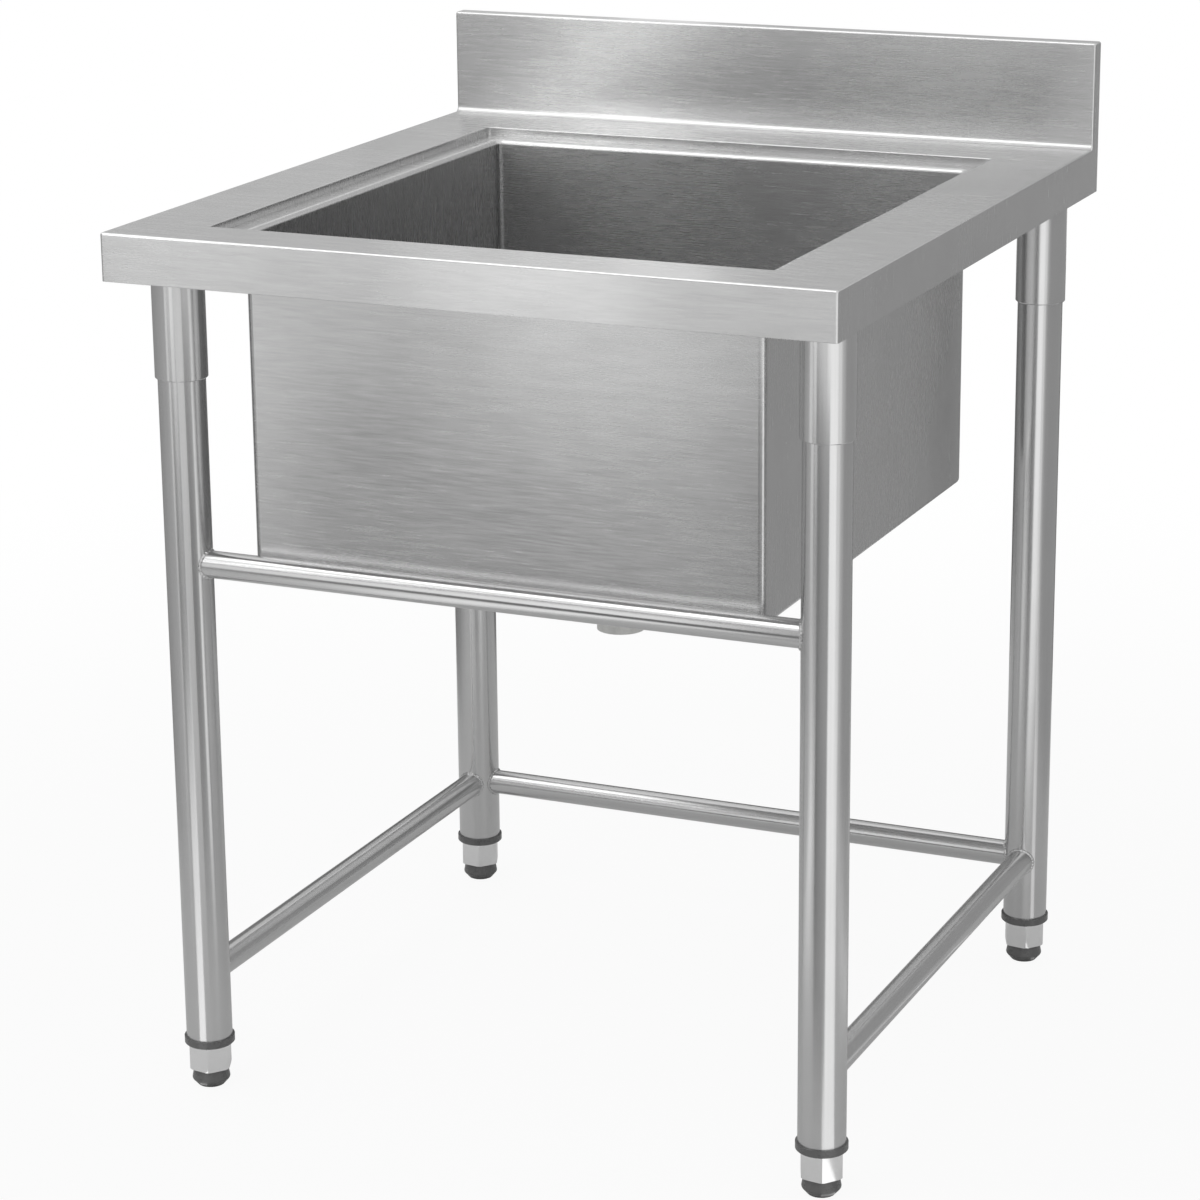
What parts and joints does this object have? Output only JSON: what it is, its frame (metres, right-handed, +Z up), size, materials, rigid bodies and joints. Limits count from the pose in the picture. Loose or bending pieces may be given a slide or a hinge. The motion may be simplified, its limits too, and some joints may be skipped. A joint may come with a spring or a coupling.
{
  "type": "utility laundry sink",
  "caption": "Free-standing stainless laundry sink: folded worktop with a splash, deep rectangular bowl, basket strainer, tube legs with rails and screw-in levelling feet.",
  "frame": {"origin": "on the floor, under the middle of the worktop's outline", "axes": "+X to the right as seen from the front, +Y towards the wall behind the splash, +Z up"},
  "size_m": [0.6, 0.64, 0.815],
  "materials": {
    "brushed_sheet": "fine horizontal brush grain, satin",
    "brushed_tube": "polished along the tube, satin to bright",
    "galvanised_steel": "dull zinc coating",
    "polished_metal": "bright polished",
    "zinc_fastener": "dull zinc plate",
    "strainer_steel": "pressed stainless steel, semi-bright",
    "dark_plastic": "moulded, dark grey, slightly shiny",
    "waste_plastic": "moulded, pale grey",
    "black_rubber": "matt"
  },
  "bodies": {
    "sink": {"worktop": "brushed_sheet", "splash_back_panel": "brushed_sheet", "bowl": "brushed_sheet", "channel_left": "galvanised_steel", "channel_right": "galvanised_steel", "channel_front": "galvanised_steel", "channel_rear": "galvanised_steel", "socket_plate_front_left": "galvanised_steel", "leg_sleeve_front_left": "brushed_tube", "leg_front_left": "brushed_tube", "foot_insert_front_left": "dark_plastic", "socket_plate_front_right": "galvanised_steel", "leg_sleeve_front_right": "brushed_tube", "leg_front_right": "brushed_tube", "foot_insert_front_right": "dark_plastic", "socket_plate_rear_left": "galvanised_steel", "leg_sleeve_rear_left": "brushed_tube", "leg_rear_left": "brushed_tube", "foot_insert_rear_left": "dark_plastic", "socket_plate_rear_right": "galvanised_steel", "leg_sleeve_rear_right": "brushed_tube", "leg_rear_right": "brushed_tube", "foot_insert_rear_right": "dark_plastic", "set_screws": "zinc_fastener", "front_rail": "brushed_tube", "rear_rail": "brushed_tube", "left_rail": "brushed_tube", "right_rail": "brushed_tube", "strainer_body": "strainer_steel", "flange_seal": "black_rubber", "bowl_gasket": "black_rubber", "tailpiece_washer": "black_rubber", "friction_ring": "waste_plastic", "strainer_locknut": "waste_plastic", "coupling_nut": "waste_plastic", "tailpiece": "waste_plastic"},
    "basket": {"strainer_basket": "strainer_steel", "basket_knob": "strainer_steel", "basket_stopper": "black_rubber"},
    "pad_front_left": {"foot_pad_front_left": "dark_plastic"},
    "stem_front_left": {"foot_stem_front_left": "polished_metal"},
    "pad_front_right": {"foot_pad_front_right": "dark_plastic"},
    "stem_front_right": {"foot_stem_front_right": "polished_metal"},
    "pad_rear_left": {"foot_pad_rear_left": "dark_plastic"},
    "stem_rear_left": {"foot_stem_rear_left": "polished_metal"},
    "pad_rear_right": {"foot_pad_rear_right": "dark_plastic"},
    "stem_rear_right": {"foot_stem_rear_right": "polished_metal"}
  },
  "joints": [
    {"name": "foot_front_left_height", "type": "slide", "parent": "sink", "child": "pad_front_left", "axis": [0, 0, -1], "range_m": [0, 0.02]},
    {"name": "foot_front_left_turn", "type": "hinge", "parent": "pad_front_left", "child": "stem_front_left", "pos_m": [-0.27, -0.257, 0.03], "axis": [0, 0, -1], "range_deg": [0, 3600]},
    {"name": "foot_front_right_height", "type": "slide", "parent": "sink", "child": "pad_front_right", "axis": [0, 0, -1], "range_m": [0, 0.02]},
    {"name": "foot_front_right_turn", "type": "hinge", "parent": "pad_front_right", "child": "stem_front_right", "pos_m": [0.27, -0.257, 0.03], "axis": [0, 0, -1], "range_deg": [0, 3600]},
    {"name": "foot_rear_left_height", "type": "slide", "parent": "sink", "child": "pad_rear_left", "axis": [0, 0, -1], "range_m": [0, 0.02]},
    {"name": "foot_rear_left_turn", "type": "hinge", "parent": "pad_rear_left", "child": "stem_rear_left", "pos_m": [-0.27, 0.262, 0.03], "axis": [0, 0, -1], "range_deg": [0, 3600]},
    {"name": "foot_rear_right_height", "type": "slide", "parent": "sink", "child": "pad_rear_right", "axis": [0, 0, -1], "range_m": [0, 0.02]},
    {"name": "foot_rear_right_turn", "type": "hinge", "parent": "pad_rear_right", "child": "stem_rear_right", "pos_m": [0.27, 0.262, 0.03], "axis": [0, 0, -1], "range_deg": [0, 3600]},
    {"name": "basket_lift", "type": "slide", "parent": "sink", "child": "basket", "axis": [0, 0, 1], "range_m": [0, 0.33]}
  ],
  "couplings": [
    {"joint": "foot_front_left_turn", "follows": "foot_front_left_height", "rad_per_m": 3141.6},
    {"joint": "foot_front_right_turn", "follows": "foot_front_right_height", "rad_per_m": 3141.6},
    {"joint": "foot_rear_left_turn", "follows": "foot_rear_left_height", "rad_per_m": 3141.6},
    {"joint": "foot_rear_right_turn", "follows": "foot_rear_right_height", "rad_per_m": 3141.6}
  ]
}
